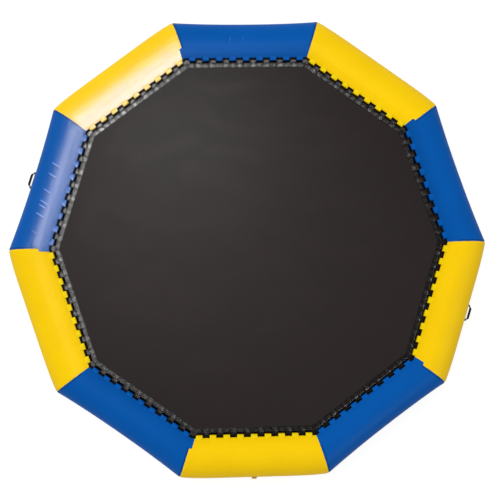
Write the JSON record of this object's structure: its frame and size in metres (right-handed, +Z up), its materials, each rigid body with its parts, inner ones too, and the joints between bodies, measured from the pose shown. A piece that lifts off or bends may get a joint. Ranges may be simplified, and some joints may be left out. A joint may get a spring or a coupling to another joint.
{
  "type": "water bouncer",
  "caption": "Inflated ten-sided ring in blue and yellow with a dark mat laced inside it by a rope through webbing loops, grab handles, mooring rings and an inflation valve.",
  "frame": {"origin": "on the ground under the centre of the ring", "axes": "+Z up, +X out through the middle of a yellow panel and its grab handle, +Y out through a corner of the ring"},
  "size_m": [5.9021, 6.1, 0.56],
  "materials": {
    "blue_pvc": "blue coated fabric, satin",
    "yellow_pvc": "yellow coated fabric, satin",
    "black_pvc": "black coated fabric, satin",
    "black_webbing": "black woven webbing",
    "black_rope": "black braided rope",
    "mat_fabric": "dark woven mat fabric, matt",
    "black_rubber": "black moulded rubber",
    "grey_plastic": "grey moulded plastic",
    "steel": "stainless steel wire"
  },
  "bodies": {
    "ring": {"tube_panel_01": "blue_pvc", "tube_panel_02": "yellow_pvc", "tube_panel_03": "blue_pvc", "tube_panel_04": "yellow_pvc", "tube_panel_05": "blue_pvc", "tube_panel_06": "yellow_pvc", "tube_panel_07": "blue_pvc", "tube_panel_08": "yellow_pvc", "tube_panel_09": "blue_pvc", "tube_panel_10": "yellow_pvc", "lacing_strip_01": "blue_pvc", "lacing_strip_02": "yellow_pvc", "lacing_strip_03": "blue_pvc", "lacing_strip_04": "yellow_pvc", "lacing_strip_05": "blue_pvc", "lacing_strip_06": "yellow_pvc", "lacing_strip_07": "blue_pvc", "lacing_strip_08": "yellow_pvc", "lacing_strip_09": "blue_pvc", "lacing_strip_10": "yellow_pvc", "rub_band": "black_pvc", "lacing_rope": "black_rope", "mat_border": "black_webbing", "mat_gore_01": "mat_fabric", "mat_gore_02": "mat_fabric", "mat_gore_03": "mat_fabric", "mat_gore_04": "mat_fabric", "mat_gore_05": "mat_fabric", "mat_gore_06": "mat_fabric", "mat_gore_07": "mat_fabric", "mat_gore_08": "mat_fabric", "mat_gore_09": "mat_fabric", "mat_gore_10": "mat_fabric", "valve_patch": "yellow_pvc", "valve_seal": "black_rubber", "valve_nut": "grey_plastic", "valve_body": "grey_plastic", "valve_spring": "steel", "cap_tether": "black_rubber", "handle_patch_left": "blue_pvc", "handle_patch_right": "yellow_pvc", "handle_base_left": "black_rubber", "handle_base_right": "black_rubber", "anchor_patch_1": "black_pvc", "anchor_patch_2": "black_pvc", "anchor_patch_3": "black_pvc", "anchor_patch_4": "black_pvc", "anchor_patch_5": "black_pvc"},
    "mat_centre": {"mat_centre_panel": "mat_fabric"},
    "left_handle": {"grab_handle_left": "black_webbing", "handle_grip_left": "black_rubber"},
    "right_handle": {"grab_handle_right": "black_webbing", "handle_grip_right": "black_rubber"},
    "mooring_ring_1": {"anchor_ring_1": "steel"},
    "mooring_ring_2": {"anchor_ring_2": "steel"},
    "mooring_ring_3": {"anchor_ring_3": "steel"},
    "mooring_ring_4": {"anchor_ring_4": "steel"},
    "mooring_ring_5": {"anchor_ring_5": "steel"},
    "poppet": {"valve_poppet": "grey_plastic"},
    "cap": {"valve_cap": "yellow_pvc"}
  },
  "joints": [
    {"name": "mat_bounce", "type": "slide", "parent": "ring", "child": "mat_centre", "axis": [0, 0, 1], "range_m": [-0.3, 0], "stiffness_N_per_m": 8000, "springref_m": 0.002},
    {"name": "left_handle_hinge", "type": "hinge", "parent": "ring", "child": "left_handle", "pos_m": [-2.88716, 0, 0.28], "axis": [0, -1, 0], "range_deg": [-60, 60]},
    {"name": "right_handle_hinge", "type": "hinge", "parent": "ring", "child": "right_handle", "pos_m": [2.93693, 0, 0.28], "axis": [0, 1, 0], "range_deg": [-60, 60]},
    {"name": "mooring_ring_1_swing", "type": "hinge", "parent": "ring", "child": "mooring_ring_1", "pos_m": [-2.29696, 1.66884, 0.07753], "axis": [-0.5878, -0.809, 0], "range_deg": [-130, 40]},
    {"name": "mooring_ring_2_swing", "type": "hinge", "parent": "ring", "child": "mooring_ring_2", "pos_m": [-2.29696, -1.66884, 0.07753], "axis": [0.5878, -0.809, 0], "range_deg": [-130, 40]},
    {"name": "mooring_ring_3_swing", "type": "hinge", "parent": "ring", "child": "mooring_ring_3", "pos_m": [0.87736, -2.70023, 0.07753], "axis": [0.9511, 0.309, 0], "range_deg": [-130, 40]},
    {"name": "mooring_ring_4_swing", "type": "hinge", "parent": "ring", "child": "mooring_ring_4", "pos_m": [2.83919, 0, 0.07753], "axis": [0, 1, 0], "range_deg": [-130, 40]},
    {"name": "mooring_ring_5_swing", "type": "hinge", "parent": "ring", "child": "mooring_ring_5", "pos_m": [0.87736, 2.70023, 0.07753], "axis": [-0.9511, 0.309, 0], "range_deg": [-130, 40]},
    {"name": "poppet_press", "type": "slide", "parent": "ring", "child": "poppet", "axis": [-0.309, 0.9511, 0], "range_m": [0, 0.004], "stiffness_N_per_m": 300, "springref_m": -0.002, "deforming": ["valve_spring"]},
    {"name": "cap_pull", "type": "slide", "parent": "ring", "child": "cap", "axis": [0.309, -0.9511, 0], "range_m": [0, 0.02], "deforming": ["cap_tether"]}
  ]
}
